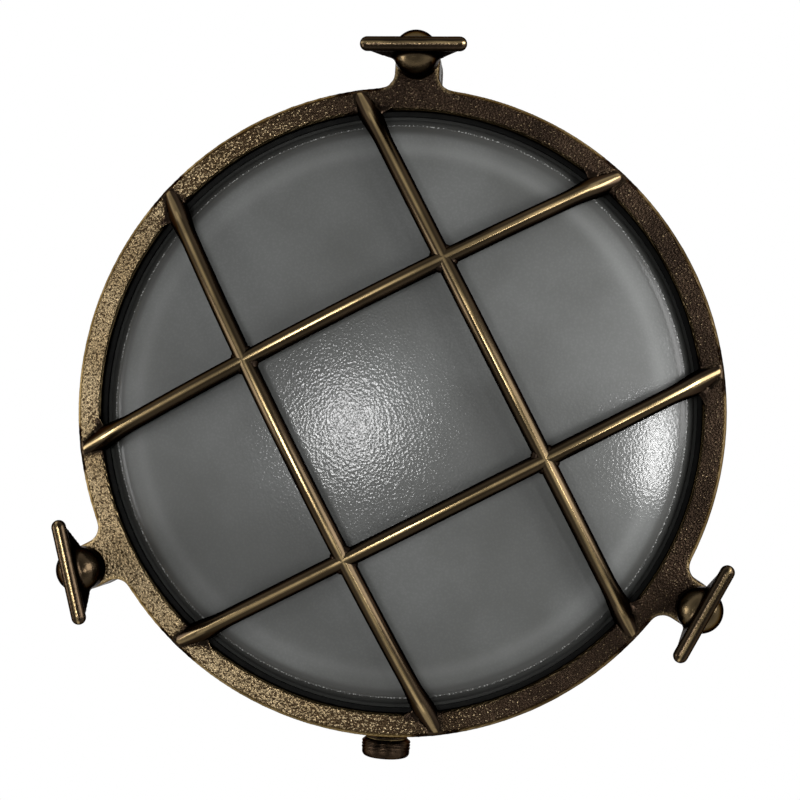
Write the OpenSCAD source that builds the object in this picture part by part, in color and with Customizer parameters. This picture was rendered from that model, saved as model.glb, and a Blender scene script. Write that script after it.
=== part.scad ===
// Round wall light with a cast cage ring, a pressed glass and three wing nuts. Millimetres.
// The front faces -Y, +Z is up, and the face against the wall is Y = 0.

/* [Cage ring] */
// outside diameter of the cage ring
ring_d = 200; // [196:1:206]
// width of the ring's front face, from its inner edge to its outer edge
ring_w = 7.5; // [7.2:0.1:8]
// thickness of the ring's front plate
face_t = 4; // [3.6:0.1:5]
// thickness of the skirt that runs back from the plate
skirt_t = 3.5; // [3:0.1:3.8]
// bevel round the outer edge of the front face
ring_bevel = 1.2; // [0.6:0.1:1.5]
// bevel round the inner edge of the front face
inner_bevel = 0.5; // [0.3:0.1:0.8]
// distance of each bar from the middle
bar_offset = 33.5; // [30:0.5:36]
// turn of the grid of bars from level
grid_turn = 30; // [27:0.5:33]
// width of a bar
bar_w = 5.2; // [4.8:0.1:5.8]
// rise of a bar's ridge above the ring's face, at its middle
bar_rise = 18.5; // [18:0.1:21]
// height of a bar's ridge above its widest line
ridge_h = 3.4; // [3.2:0.1:3.8]
// depth of a bar below its widest line
bar_under = 1.2; // [0.8:0.1:1.4]
// radius of the fillets where two bars cross
cross_fillet = 2.6; // [2:0.1:3.2]
// radius of the fillets where a bar meets the ring's inner edge
root_fillet = 2.6; // [2:0.1:3.2]
// height of the fillets' top above the widest line of a bar
fillet_up = 0.8; // [0.6:0.1:1]
// length of the filed flat at a bar's tip, measured in from the ring's edge
tip_len = 12; // [10:0.5:14]
// depth filed off the ridge at the ring's edge
tip_cut = 0.5; // [0.3:0.1:0.7]
// distance at which a bar's tip stops short of the ring's edge
tip_in = 0.2; // [0.1:0.05:0.4]

/* [Glass] */
// wall thickness of the glass and of its flange
glass_t = 3.5; // [3:0.1:4]
// gap between the ring's inner edge and the glass
glass_gap = 1.5; // [1.2:0.1:1.8]
// height of the dome's crown above the ring's face
glass_rise = 10.5; // [8:0.1:11]
// radius of the rounded edge between the flank and the dome
glass_edge_r = 7; // [6:0.1:8]
// distance of the rounded edge's top below the ring's face
glass_drop = 1.5; // [1.2:0.1:2]
// thickness of the gasket between ring and glass
front_gasket_t = 2; // [1.5:0.1:2.5]
// thickness of the gasket between glass and housing
rear_gasket_t = 2.5; // [2:0.1:3]

/* [Housing] */
// depth of the housing, from the wall to its rim
body_h = 52; // [50:1:60]
// wall thickness of the housing
wall_t = 4; // [3.6:0.1:4.4]
// draft angle of the housing's side
body_draft = 4; // [2:0.5:5]
// radius of the rounded back edge
back_round = 12; // [9:0.5:14]
// thickness of the rim flange
rim_t = 6; // [5:0.5:7]
// width of the rim flange outside the housing's side
rim_w = 12; // [11:0.5:13]
// diameter of the circle of the wall fixing holes
fix_circle = 104; // [100:1:107]
// diameter of a wall fixing hole
fix_d = 5.5; // [4.5:0.1:6.5]
// diameter of the pad round a fixing hole
fix_pad_d = 16; // [14:0.5:18]
// height of a pad above the floor
fix_pad_h = 3; // [2:0.5:4]
// distance of the earth screw from the middle
earth_out = 52; // [48:0.5:56]
// diameter of the pad under the earth screw
earth_pad_d = 10.4; // [9.5:0.1:12]
// height of the pad under the earth screw
earth_pad_h = 5; // [4:0.5:6]

/* [Lugs and studs] */
// distance of the studs past the ring's edge
stud_out = 8.5; // [8.2:0.1:9.5]
// thread diameter of the studs
stud_d = 6; // [5:0.1:6]
// width of a lug
lug_w = 13.8; // [13:0.1:14.6]
// radius of the fillets where a lug meets the ring
lug_fillet = 4.5; // [3:0.1:6]
// thickness of the housing's lugs
lug_t = 9; // [8:0.5:11]
// width across the flats of a stud's head
head_af = 10; // [9:0.1:11]
// height of a stud's head
head_h = 4; // [3:0.1:5]
// outside diameter of a washer
washer_d = 12.4; // [11.5:0.1:12.8]
// thickness of a washer
washer_t = 1.6; // [1:0.1:2]

/* [Wing nuts] */
// span over the two wing tips
wing_span = 32; // [28:0.5:34]
// height of the nut from its seat to the top of the wings
nut_h = 19.2; // [17:0.1:21]
// thickness of the rounded bar along the top of the wings
wing_bar_d = 4.4; // [3.4:0.1:4.4]
// thickness of the webs under the bar
web_t = 3.2; // [2.2:0.1:3.2]
// diameter of the hub
hub_d = 13.8; // [12.9:0.1:14]
// height of the straight part of the hub, below its dome
hub_h = 6; // [5:0.1:7]
// height of the foot of the webs above the seat
web_foot = 2.5; // [2:0.1:3.5]
// depth of a web's outer edge below the middle of the bar
web_edge = 1.9; // [0.5:0.1:2]
// depth of the blind thread in the hub
nut_thread = 10; // [9.6:0.1:10.6]
// length of the stud inside the tightened nut
stud_grip = 9; // [8.6:0.1:9.4]
// turn of the top nut's wings from the rim line
yaw_top = 2; // [-45:0.5:45]
// turn of the left nut's wings from the rim line
yaw_left = -13.5; // [-45:0.5:45]
// turn of the right nut's wings from the rim line
yaw_right = 4; // [-45:0.5:45]

/* [Cable gland] */
// distance of the gland's axis behind the ring's face
gland_back = 33; // [28:0.5:33]
// distance of the gland's end past the ring's edge
gland_out = 11.6; // [11.6:0.1:16]
// distance of the end of the housing's boss inside the ring's edge
boss_in = 3; // [2:0.1:4]
// diameter of the gland's cap
gland_d = 15.4; // [14.8:0.1:17]
// diameter of the gland's threaded neck
neck_d = 13; // [12.6:0.1:13.4]
// diameter of the thread that screws into the housing
entry_d = 12; // [11.4:0.1:12.4]
// length of the thread that screws into the housing
entry_l = 13; // [11:0.5:14]
// width across the flats of the gland's hexagon
gland_af = 17; // [15:0.1:18.5]
// length of the gland's hexagon
hex_l = 4; // [3:0.1:4.5]
// diameter of the opening for the cable
cable_d = 7; // [6:0.1:7.6]
// length of the cap
cap_l = 6; // [5.4:0.1:6.8]
// thickness of the cap's end wall
cap_roof = 1.6; // [1.2:0.1:2]
// bevel round the cap's outer end
cap_bevel = 1.4; // [0.8:0.1:1.6]
// bevel round the cap's inner end
cap_back_bevel = 0.8; // [0.4:0.1:1]
// length of the rubber seal
seal_l = 6.2; // [5:0.1:7]
// wall thickness of the rubber seal
seal_t = 1.7; // [1.4:0.1:2]
// length of the seal that stands out of the neck, to be squeezed by the cap
seal_out = 1.2; // [0.8:0.1:1.6]
// diameter of the boss on the housing
boss_d = 21; // [20.8:0.1:22]

/* [Lamp and holder] */
// height of the lamp's axis above the wall
lamp_z = 34; // [32:0.5:35]
// diameter of the lamp's globe
lamp_d = 45; // [40:0.5:47]
// diameter of the lamp's screw cap
cap_d = 26; // [25.6:0.1:26.4]
// length of the lamp's screw cap
cap_len = 24; // [22:0.5:25]
// distance from the cap to the globe's middle
globe_out = 32; // [30:0.5:34]
// outside diameter of the ceramic holder
holder_d = 42; // [40:0.5:44]
// length of the ceramic holder
holder_l = 36; // [34:0.5:38]
// thickness of the holder's ceramic floor
holder_floor = 8; // [7:0.5:9]
// width of the step round the holder's mouth
lip_w = 2; // [1:0.1:2.5]
// length of the holder in front of the step
lip_l = 6; // [4:0.5:8]
// thickness of the threaded shell
shell_t = 0.8; // [0.6:0.1:1]
// length of the threaded shell
shell_l = 26; // [24:0.5:27]
// diameter of the hole in the shell's floor
shell_hole = 18; // [16.5:0.5:20]
// length of the centre contact's strip
contact_l = 14; // [12:0.5:15]
// width of the centre contact's strip
contact_w = 6; // [5:0.1:7]
// thickness of the centre contact's strip
contact_t = 1.2; // [1:0.1:1.5]
// diameter of the centre contact's button
button_d = 5; // [4:0.1:6]
// height of the centre contact's button above its strip
button_h = 2; // [1.5:0.1:2.5]
// diameter of the lamp's tip
tip_d = 10; // [9:0.1:11]
// height of the lamp's tip
tip_h = 2; // [1.5:0.1:2.5]
// thickness of the bracket's steel strip
strip_t = 1.6; // [1.2:0.1:2]
// width of the bracket's steel strip
strip_w = 26; // [24:0.5:28]
// length of the bracket's foot
foot_l = 24; // [22:0.5:26]
// distance of the bracket's upright from the middle
upright_x = 62; // [60:0.5:63]
// height of the bracket's upright above the lamp's axis
upright_over = 14; // [12:0.5:15]
// distance of a holder screw from the lamp's axis
holder_screw_y = 9; // [8:0.5:9.5]
// distance of a bracket screw from the middle line
bracket_screw_y = 7; // [6:0.5:8]
// distance of a terminal screw from the lamp's axis
terminal_y = 11; // [9:0.5:12]
// distance of the terminal screws from the holder's back
terminal_in = 22; // [18:0.5:24]
// thread diameter of the small screws
screw_d = 4; // [3.5:0.1:4.2]
// head diameter of the small screws
screw_head_d = 7.2; // [6.6:0.1:7.6]
// head height of the small screws
screw_head_h = 2.4; // [2:0.1:2.8]
// width of the slot in a screw's head
slot_w = 0.8; // [0.6:0.1:1]
// depth of the slot in a screw's head
slot_depth = 1; // [0.6:0.1:1.2]
// length of a holder screw in the ceramic
holder_grip = 5; // [4:0.5:6]
// length of a terminal screw in the ceramic
terminal_grip = 6; // [5:0.5:7]
// length of a bracket screw in the housing's floor
floor_grip = 2; // [1.5:0.1:2.5]

/* [Fits] */
// radial clearance of a nut on its stud
thread_fit = 0.05; // [0.02:0.01:0.08]
// radial clearance of a stud in the ring's lug
lug_fit = 0.3; // [0.2:0.05:0.5]
// radial clearance round the glass flange and the gaskets
glass_fit = 0.8; // [0.5:0.1:1]
// radial clearance of the lamp's cap in its shell
cap_fit = 0.25; // [0.15:0.05:0.3]
// radial clearance of the cable in the gland's body and cap
cable_fit = 0.4; // [0.3:0.05:0.5]
// radial clearance of the front gasket round the glass
gasket_fit = 0.4; // [0.2:0.1:0.6]

/* [Hidden] */
$fn = 96;

bronze = [0.30, 0.23, 0.15];
brass = [0.72, 0.58, 0.32];
steel = [0.72, 0.72, 0.70];
rubber = [0.06, 0.06, 0.06];
frosted = [0.62, 0.64, 0.65, 0.6];
china = [0.92, 0.90, 0.86];
opal = [0.95, 0.95, 0.93];

// how far shapes that are joined run into each other, and cuts past a face
overlap = 1;
// a hair, by which shapes that would only touch are made to cross
hair = 0.05;

ring_r = ring_d / 2;
ring_in = ring_r - ring_w;
skirt_in = ring_r - skirt_t;
rear_z = body_h + rear_gasket_t;
flange_z = rear_z + glass_t;
plate_z = flange_z + front_gasket_t;
face_z = plate_z + face_t;

// bars: the ridge follows an arc that meets the face at the ring's edge
bar_half = sqrt(ring_r * ring_r - bar_offset * bar_offset);
bar_R = (bar_half * bar_half + bar_rise * bar_rise) / (2 * bar_rise);
bar_cz = face_z + bar_rise - bar_R;
bar_sweep = asin((bar_half + 2 * overlap) / bar_R);
wide_x = bar_R - ridge_h;
flank_r = (ridge_h * ridge_h / (bar_w / 2) + bar_w / 2) / 2;
tip_r = ring_r - tip_len;
tip_z = bar_cz + sqrt(bar_R * bar_R - tip_r * tip_r + bar_offset * bar_offset);

// fillets run into what they meet by this much, so that they cross it and never only touch
sink = 3 * hair;
fillet_down = bar_under - sink;
cross_side = bar_w / 2 + cross_fillet - sink;
// at a crossing, a sphere of this radius follows the slope of both bars' widest lines
cross_R = sqrt(bar_R * bar_R + bar_offset * bar_offset) - ridge_h;
root_reach = ring_in - root_fillet + sink;
root_side = bar_w / 2 + root_fillet - sink;
// lugs and fillets reach inwards to this radius, where the plate takes them in
join_r = skirt_in - overlap;

// glass: a spherical crown that runs tangent into a rounded edge
glass_r = ring_in - glass_gap;
glass_flange_r = skirt_in - glass_fit;
edge_x = glass_r - glass_edge_r;
edge_z = face_z - glass_drop - glass_edge_r;
crown_z = face_z + glass_rise;
crown_h = crown_z - edge_z;
crown_R = (edge_x * edge_x + crown_h * crown_h - glass_edge_r * glass_edge_r)
    / (2 * (crown_h - glass_edge_r));

// housing
body_r = ring_r - rim_w;
under_rim = body_h - rim_t;
round_x = body_r - tan(body_draft) * (under_rim - back_round)
    - back_round / cos(body_draft);
round_z = back_round;
floor_z = wall_t;

// studs and nuts
angles = [90, 210, 330];
yaws = [yaw_top, yaw_left, yaw_right];
stud_reach = ring_r + stud_out;
stud_rr = stud_d / 2;
seat_z = face_z + washer_t;
fillet_x = lug_w / 2 + lug_fillet;
fillet_y = sqrt(pow(ring_r + lug_fillet - sink, 2) - fillet_x * fillet_x);

// gland, along its own axis from the middle of the light
gland_z = face_z - gland_back;
gland_end = ring_r + gland_out;
boss_end = ring_r - boss_in;
cap_start = gland_end - cap_l;
seal_end = gland_end - cap_roof;
seal_start = seal_end - seal_l;
neck_end = seal_end - seal_out;
seal_rr = cable_d / 2 + seal_t;
cap_rr = gland_d / 2;

// lamp and holder, along X
holder_x = strip_t - upright_x;
well_x = holder_x + holder_floor;
shell_in = cap_d / 2 + cap_fit;
shell_out = shell_in + shell_t;
strip_up = lamp_z + upright_over;
cap_x = well_x + contact_t + button_h;
globe_x = cap_x + cap_len + globe_out;
foot_x = foot_l / 2 - upright_x;
terminal_x = holder_x + terminal_in;

module facing() {
    rotate([90, 0, 0])
        children();
}

module at_stud(i) {
    rotate(angles[i])
        translate([stud_reach, 0, 0])
            children();
}

module ring_solid(r_out, r_in, z0, z1) {
    translate([0, 0, z0])
        difference() {
            cylinder(r = r_out, h = z1 - z0);
            translate([0, 0, -overlap])
                cylinder(r = r_in, h = z1 - z0 + 2 * overlap);
        }
}

// outline of one lug, pointing along X, with its two fillets against the ring
module lug_outline() {
    translate([stud_reach, 0])
        circle(d = lug_w);
    translate([join_r, -lug_w / 2])
        square([stud_reach - join_r, lug_w]);
    difference() {
        polygon([[0, 0], [fillet_y, -fillet_x], [fillet_y, fillet_x]]);
        circle(r = join_r);
        for (s = [-1, 1])
            translate([fillet_y, s * fillet_x])
                circle(r = lug_fillet);
    }
}

// a pointed arch: two round flanks that meet in the ridge, on a flat underside
module bar_section() {
    intersection() {
        translate([wide_x, flank_r - bar_w / 2])
            circle(r = flank_r);
        translate([wide_x, bar_w / 2 - flank_r])
            circle(r = flank_r);
        translate([wide_x - bar_under, -bar_w])
            square(2 * bar_w);
    }
}

module bar() {
    translate([0, 0, bar_cz])
        rotate([90, 0, 0])
            rotate(90 - bar_sweep)
                rotate_extrude(angle = 2 * bar_sweep)
                    bar_section();
}

// fillets in the four corners where two bars cross
module cross_fillets() {
    intersection() {
        translate([0, 0, plate_z])
            linear_extrude(height = 2 * bar_rise)
                for (x = [-1, 1])
                    for (y = [-1, 1])
                        translate([x * bar_offset, y * bar_offset])
                            difference() {
                                square(2 * cross_side, center = true);
                                for (p = [-1, 1])
                                    for (q = [-1, 1])
                                        translate([p * cross_side, q * cross_side])
                                            circle(r = cross_fillet);
                            }
        translate([0, 0, bar_cz])
            difference() {
                sphere(r = cross_R + fillet_up);
                sphere(r = cross_R - fillet_down);
            }
    }
}

// outline of the two fillets of a bar that runs along X, where it meets the ring's inner edge
module root_outline() {
    for (s = [-1, 1]) {
        y = bar_offset + s * root_side;
        x = sqrt(root_reach * root_reach - y * y);
        difference() {
            polygon([[x, bar_offset], [x, y], [x * ring_r / root_reach, y * ring_r / root_reach],
                [bar_half - overlap, bar_offset]]);
            translate([x, y])
                circle(r = root_fillet);
            difference() {
                circle(r = ring_r + ring_w);
                circle(r = join_r);
            }
        }
    }
}

module root_fillets() {
    intersection() {
        translate([0, 0, plate_z])
            linear_extrude(height = bar_rise)
                root_outline();
        translate([0, 0, bar_cz])
            rotate([90, 0, 0])
                difference() {
                    cylinder(r = wide_x + fillet_up, h = ring_d, center = true);
                    cylinder(r = wide_x - fillet_down, h = ring_d + overlap, center = true);
                }
    }
}

module cage_ring() {
    color(bronze)
        facing() {
            difference() {
                union() {
                    rotate_extrude()
                        polygon([[ring_in, plate_z], [ring_in, face_z - inner_bevel],
                            [ring_in + inner_bevel, face_z], [ring_r - ring_bevel, face_z],
                            [ring_r, face_z - ring_bevel], [ring_r, body_h],
                            [skirt_in, body_h], [skirt_in, plate_z]]);
                    for (a = angles)
                        rotate(a)
                            difference() {
                                translate([0, 0, body_h])
                                    linear_extrude(height = face_z - body_h)
                                        lug_outline();
                                translate([0, 0, body_h - overlap])
                                    cylinder(r = skirt_in, h = plate_z - body_h + overlap);
                            }
                    rotate(grid_turn)
                        cross_fillets();
                    for (a = [0 : 90 : 270])
                        rotate(grid_turn + a)
                            for (m = [0, 1])
                                mirror([0, m, 0])
                                    root_fillets();
                    intersection() {
                        rotate_extrude()
                            polygon([[0, plate_z], [ring_r - tip_in, plate_z],
                                [ring_r - tip_in, face_z - tip_cut], [tip_r, tip_z + hair],
                                [tip_r, face_z + 2 * bar_rise], [0, face_z + 2 * bar_rise]]);
                        union() {
                            for (a = [grid_turn, grid_turn + 90])
                                for (s = [-1, 1])
                                    rotate(a)
                                        translate([0, s * bar_offset, 0])
                                            bar();
                        }
                    }
                }
                for (i = [0 : 2])
                    at_stud(i)
                        translate([0, 0, body_h - overlap])
                            cylinder(r = stud_rr + lug_fit, h = face_z - body_h + 2 * overlap);
            }
        }
}

module glass_shape(crown, edge, flank, bottom) {
    rotate_extrude()
        union() {
            intersection() {
                translate([0, crown_z - crown_R])
                    circle(r = crown);
                translate([0, edge_z])
                    square([edge_x * crown / (crown - edge), crown_h]);
            }
            translate([edge_x, edge_z])
                intersection() {
                    circle(r = edge);
                    square(edge);
                }
            translate([0, bottom])
                square([flank, edge_z - bottom]);
        }
}

module glass_dome() {
    color(frosted)
        facing()
            difference() {
                union() {
                    glass_shape(crown_R, glass_edge_r, glass_r, rear_z);
                    translate([0, 0, rear_z])
                        cylinder(r = glass_flange_r, h = glass_t);
                }
                glass_shape(crown_R - glass_t, glass_edge_r - glass_t, glass_r - glass_t,
                    rear_z - overlap);
            }
}

module front_gasket() {
    color(rubber)
        facing()
            ring_solid(glass_flange_r, glass_r + gasket_fit, flange_z, plate_z);
}

module rear_gasket() {
    color(rubber)
        facing()
            ring_solid(glass_flange_r, glass_r - glass_t, body_h, rear_z);
}

// side view of the housing's outside or inside: a drafted wall on a rounded back edge
module dish_shape(inset, z_top) {
    r = back_round - inset;
    polygon([[0, round_z - r], [round_x, round_z - r], [round_x, round_z],
        [round_x + r * cos(body_draft), round_z - r * sin(body_draft)],
        [round_x + r / cos(body_draft) + tan(body_draft) * (z_top - round_z), z_top],
        [0, z_top]]);
    translate([round_x, round_z])
        circle(r = r);
}

module back_housing() {
    color(bronze)
        facing()
            difference() {
                union() {
                    rotate_extrude()
                        union() {
                            difference() {
                                dish_shape(0, body_h - overlap);
                                dish_shape(wall_t, body_h + overlap);
                            }
                            difference() {
                                translate([0, under_rim])
                                    square([ring_r, rim_t]);
                                dish_shape(wall_t, body_h + overlap);
                            }
                        }
                    for (a = angles)
                        rotate(a)
                            difference() {
                                translate([0, 0, body_h - lug_t])
                                    linear_extrude(height = lug_t)
                                        lug_outline();
                                cylinder(r = body_r - overlap, h = body_h + overlap);
                            }
                    for (a = [45 : 90 : 315])
                        rotate(a)
                            translate([fix_circle / 2, 0, floor_z - overlap])
                                cylinder(d = fix_pad_d, h = fix_pad_h + overlap);
                    translate([earth_out, 0, floor_z - overlap])
                        cylinder(d = earth_pad_d, h = earth_pad_h + overlap);
                    difference() {
                        translate([0, -boss_end, gland_z])
                            rotate([-90, 0, 0])
                                cylinder(d = boss_d, h = boss_end - round_x);
                        rotate_extrude()
                            dish_shape(wall_t, body_h + overlap);
                    }
                }
                for (i = [0 : 2])
                    at_stud(i)
                        translate([0, 0, body_h - lug_t - overlap])
                            cylinder(r = stud_rr, h = lug_t + 2 * overlap);
                for (a = [45 : 90 : 315])
                    rotate(a)
                        translate([fix_circle / 2, 0, -overlap])
                            cylinder(d = fix_d, h = floor_z + fix_pad_h + 2 * overlap);
                translate([earth_out, 0, floor_z - overlap])
                    cylinder(d = screw_d, h = earth_pad_h + 2 * overlap);
                for (s = [-1, 1])
                    translate([foot_x, s * bracket_screw_y, floor_z - floor_grip - overlap / 2])
                        cylinder(d = screw_d, h = floor_grip + overlap);
                translate([0, -boss_end - overlap, gland_z])
                    rotate([-90, 0, 0])
                        cylinder(d = entry_d, h = boss_end - round_x + back_round);
            }
}

module stud(i) {
    color(brass)
        facing()
            at_stud(i) {
                translate([0, 0, body_h - lug_t - head_h])
                    cylinder(d = head_af / cos(30), h = head_h, $fn = 6);
                translate([0, 0, body_h - lug_t])
                    cylinder(r = stud_rr, h = seat_z + stud_grip - body_h + lug_t);
            }
}

module washer(i) {
    color(brass)
        facing()
            at_stud(i)
                ring_solid(washer_d / 2, stud_rr + thread_fit, face_z, seat_z);
}

module wing_nut(i) {
    bar_r = wing_bar_d / 2;
    reach = wing_span / 2 - bar_r;
    top = nut_h - bar_r;
    web_in = (hub_d - overlap) / 2;
    color(bronze)
        facing()
            at_stud(i)
                translate([0, 0, seat_z])
                    rotate(90 + yaws[i])
                        difference() {
                            union() {
                                cylinder(d = hub_d, h = hub_h);
                                translate([0, 0, hub_h])
                                    intersection() {
                                        sphere(d = hub_d);
                                        translate([0, 0, -overlap])
                                            cylinder(d = hub_d + overlap, h = hub_d);
                                    }
                                translate([0, web_t / 2, 0])
                                    rotate([90, 0, 0])
                                        linear_extrude(height = web_t)
                                            polygon([[-reach, top], [reach, top],
                                                [reach, top - web_edge], [web_in, web_foot],
                                                [-web_in, web_foot], [-reach, top - web_edge]]);
                                translate([-reach, 0, top])
                                    rotate([0, 90, 0])
                                        cylinder(r = bar_r, h = 2 * reach);
                                for (s = [-1, 1])
                                    translate([s * reach, 0, top])
                                        sphere(r = bar_r);
                            }
                            translate([0, 0, -overlap])
                                cylinder(r = stud_rr + thread_fit, h = nut_thread + overlap);
                        }
}

module stud_top() {
    stud(0);
}

module stud_left() {
    stud(1);
}

module stud_right() {
    stud(2);
}

module washer_top() {
    washer(0);
}

module washer_left() {
    washer(1);
}

module washer_right() {
    washer(2);
}

module wing_nut_top() {
    wing_nut(0);
}

module wing_nut_left() {
    wing_nut(1);
}

module wing_nut_right() {
    wing_nut(2);
}

// turns a profile about the gland's axis; its height runs out from the middle of the light
module on_gland() {
    facing()
        translate([0, 0, gland_z])
            rotate([90, 0, 0])
                children();
}

module gland_body() {
    color(brass)
        on_gland()
            difference() {
                union() {
                    translate([0, 0, boss_end - entry_l])
                        cylinder(d = entry_d, h = entry_l + overlap);
                    translate([0, 0, boss_end])
                        cylinder(d = gland_af / cos(30), h = hex_l, $fn = 6);
                    translate([0, 0, boss_end + overlap])
                        cylinder(d = neck_d, h = neck_end - boss_end - overlap);
                }
                translate([0, 0, boss_end - entry_l - overlap])
                    cylinder(r = cable_d / 2 + cable_fit, h = gland_end - boss_end + entry_l);
                translate([0, 0, seal_start])
                    cylinder(r = seal_rr, h = seal_l);
            }
}

module gland_seal() {
    color(rubber)
        on_gland()
            ring_solid(seal_rr, cable_d / 2, seal_start, seal_end);
}

module gland_cap() {
    color(bronze)
        on_gland()
            difference() {
                rotate_extrude()
                    polygon([[0, cap_start], [cap_rr - cap_back_bevel, cap_start],
                        [cap_rr, cap_start + cap_back_bevel], [cap_rr, gland_end - cap_bevel],
                        [cap_rr - cap_bevel, gland_end], [0, gland_end]]);
                translate([0, 0, cap_start - overlap])
                    cylinder(r = neck_d / 2 + thread_fit, h = cap_l - cap_roof + overlap);
                translate([0, 0, cap_start])
                    cylinder(r = cable_d / 2 + cable_fit, h = cap_l + overlap);
            }
}

// turns a profile about the lamp's axis; its height runs along X
module on_lamp() {
    facing()
        translate([0, 0, lamp_z])
            rotate([0, 90, 0])
                children();
}

module lampholder() {
    color(china)
        difference() {
            on_lamp() {
                translate([0, 0, holder_x])
                    difference() {
                        union() {
                            cylinder(r = holder_d / 2 - lip_w, h = holder_l);
                            cylinder(d = holder_d, h = holder_l - lip_l);
                        }
                        translate([0, 0, holder_floor])
                            cylinder(r = shell_out, h = holder_l);
                    }
            }
            on_lamp()
                for (s = [-1, 1])
                    translate([0, s * holder_screw_y, holder_x - overlap])
                        cylinder(d = screw_d, h = holder_grip + 2 * overlap);
            facing()
                for (s = [-1, 1])
                    translate([terminal_x, s * terminal_y, lamp_z])
                        cylinder(d = screw_d, h = holder_d);
        }
}

module screw_shell() {
    color(brass)
        on_lamp()
            difference() {
                translate([0, 0, well_x])
                    cylinder(r = shell_out, h = shell_l);
                translate([0, 0, well_x + shell_t])
                    cylinder(r = shell_in, h = shell_l);
                translate([0, 0, well_x - overlap])
                    cylinder(d = shell_hole, h = shell_t + 2 * overlap);
            }
}

module centre_contact() {
    color(brass)
        on_lamp() {
            translate([-contact_l / 2, -contact_w / 2, well_x])
                cube([contact_l, contact_w, contact_t]);
            translate([0, 0, well_x])
                cylinder(d = button_d, h = contact_t + button_h);
        }
}

module holder_bracket() {
    color(steel)
        facing()
            difference() {
                union() {
                    translate([-upright_x, -strip_w / 2, floor_z])
                        cube([strip_t, strip_w, strip_up - floor_z]);
                    translate([-upright_x, -strip_w / 2, floor_z])
                        cube([foot_l, strip_w, strip_t]);
                }
                for (s = [-1, 1])
                    translate([foot_x, s * bracket_screw_y, floor_z - overlap])
                        cylinder(d = screw_d, h = strip_t + 2 * overlap);
                for (s = [-1, 1])
                    translate([-upright_x - overlap, s * holder_screw_y, lamp_z])
                        rotate([0, 90, 0])
                            cylinder(d = screw_d, h = strip_t + 2 * overlap);
            }
}

module screw(length) {
    difference() {
        union() {
            translate([0, 0, -length])
                cylinder(d = screw_d, h = length + overlap);
            cylinder(d = screw_head_d, h = screw_head_h);
        }
        translate([-screw_head_d, -slot_w / 2, screw_head_h - slot_depth])
            cube([2 * screw_head_d, slot_w, screw_head_h]);
    }
}

module holder_screws() {
    color(steel)
        facing()
            for (s = [-1, 1])
                translate([-upright_x, s * holder_screw_y, lamp_z])
                    rotate([0, -90, 0])
                        screw(strip_t + holder_grip);
}

module bracket_screws() {
    color(steel)
        facing()
            for (s = [-1, 1])
                translate([foot_x, s * bracket_screw_y, floor_z + strip_t])
                    screw(strip_t + floor_grip);
}

module terminal_screws() {
    color(brass)
        facing()
            for (s = [-1, 1])
                translate([terminal_x, s * terminal_y, lamp_z + holder_d / 2])
                    screw(terminal_grip);
}

module earth_screw() {
    color(brass)
        facing()
            translate([earth_out, 0, floor_z + earth_pad_h])
                screw(earth_pad_h);
}

module lamp() {
    color(opal)
        on_lamp() {
            translate([0, 0, cap_x + tip_h])
                cylinder(d = cap_d, h = cap_len - tip_h);
            translate([0, 0, cap_x])
                cylinder(d = tip_d, h = tip_h + overlap);
            translate([0, 0, cap_x + cap_len - overlap])
                cylinder(d = cap_d - overlap, h = globe_out - lamp_d / 4);
            translate([0, 0, globe_x])
                sphere(d = lamp_d);
        }
}

back_housing();
cage_ring();
glass_dome();
front_gasket();
rear_gasket();
stud_top();
stud_left();
stud_right();
washer_top();
washer_left();
washer_right();
wing_nut_top();
wing_nut_left();
wing_nut_right();
gland_body();
gland_seal();
gland_cap();
lampholder();
screw_shell();
centre_contact();
holder_bracket();
holder_screws();
bracket_screws();
terminal_screws();
earth_screw();
lamp();
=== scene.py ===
# %% [markdown]
# # A round cage light for a ship's wall
# The real light is sand-cast brass with a dark antique finish. A round ring with four arched bars holds a
# frosted glass dome on a dish, three wing nuts hold the ring, and a cable gland hangs below.
# The solids already exist as a fixed frame in metres, so nothing here has to be measured or fitted again.
# Blender's work is the skin: softened cast edges, rubbed crests, pebbled metal, frosted glass and light.

# %% Load the frame
import math

import bmesh
import bpy
import numpy as np
from mathutils import Matrix, Quaternion, Vector


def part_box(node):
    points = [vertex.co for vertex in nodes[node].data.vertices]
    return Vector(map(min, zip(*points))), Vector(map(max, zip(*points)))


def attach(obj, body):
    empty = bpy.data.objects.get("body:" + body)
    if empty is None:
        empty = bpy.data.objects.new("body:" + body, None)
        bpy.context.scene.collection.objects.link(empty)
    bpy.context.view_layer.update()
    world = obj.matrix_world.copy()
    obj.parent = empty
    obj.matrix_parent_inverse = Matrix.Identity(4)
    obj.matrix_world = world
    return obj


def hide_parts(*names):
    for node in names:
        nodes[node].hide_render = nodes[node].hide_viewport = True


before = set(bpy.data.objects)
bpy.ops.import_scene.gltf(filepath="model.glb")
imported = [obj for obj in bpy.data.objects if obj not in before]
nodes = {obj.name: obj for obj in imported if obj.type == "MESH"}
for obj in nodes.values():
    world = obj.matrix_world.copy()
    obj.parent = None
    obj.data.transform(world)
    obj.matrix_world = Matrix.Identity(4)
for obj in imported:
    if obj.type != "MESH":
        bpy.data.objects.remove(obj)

scene = bpy.context.scene
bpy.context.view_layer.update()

# %% [markdown]
# ## The light's own millimetres
# A maker thinks of this light from the front: across, up, and out from the wall. Blender's frame has the
# front at -Y and Z up. Small helpers turn one into the other, so that every later size can be written as it
# would stand on a workshop drawing.

# %% Axes
MM = 0.001
FACE = 64.0  # the ring's flat face, out from the wall
RING, RING_IN = 100.0, 92.5  # the ring's outer and inner radius
BAR_TURN = math.radians(30)  # how far the grid of bars is turned
BAR_OFFSET = 33.5  # each bar's distance from the light's axis


def spot(across, up, out):
    """A place on the light, in millimetres, as Blender's metres."""
    return Vector((across, -out, up)) * MM


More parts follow.
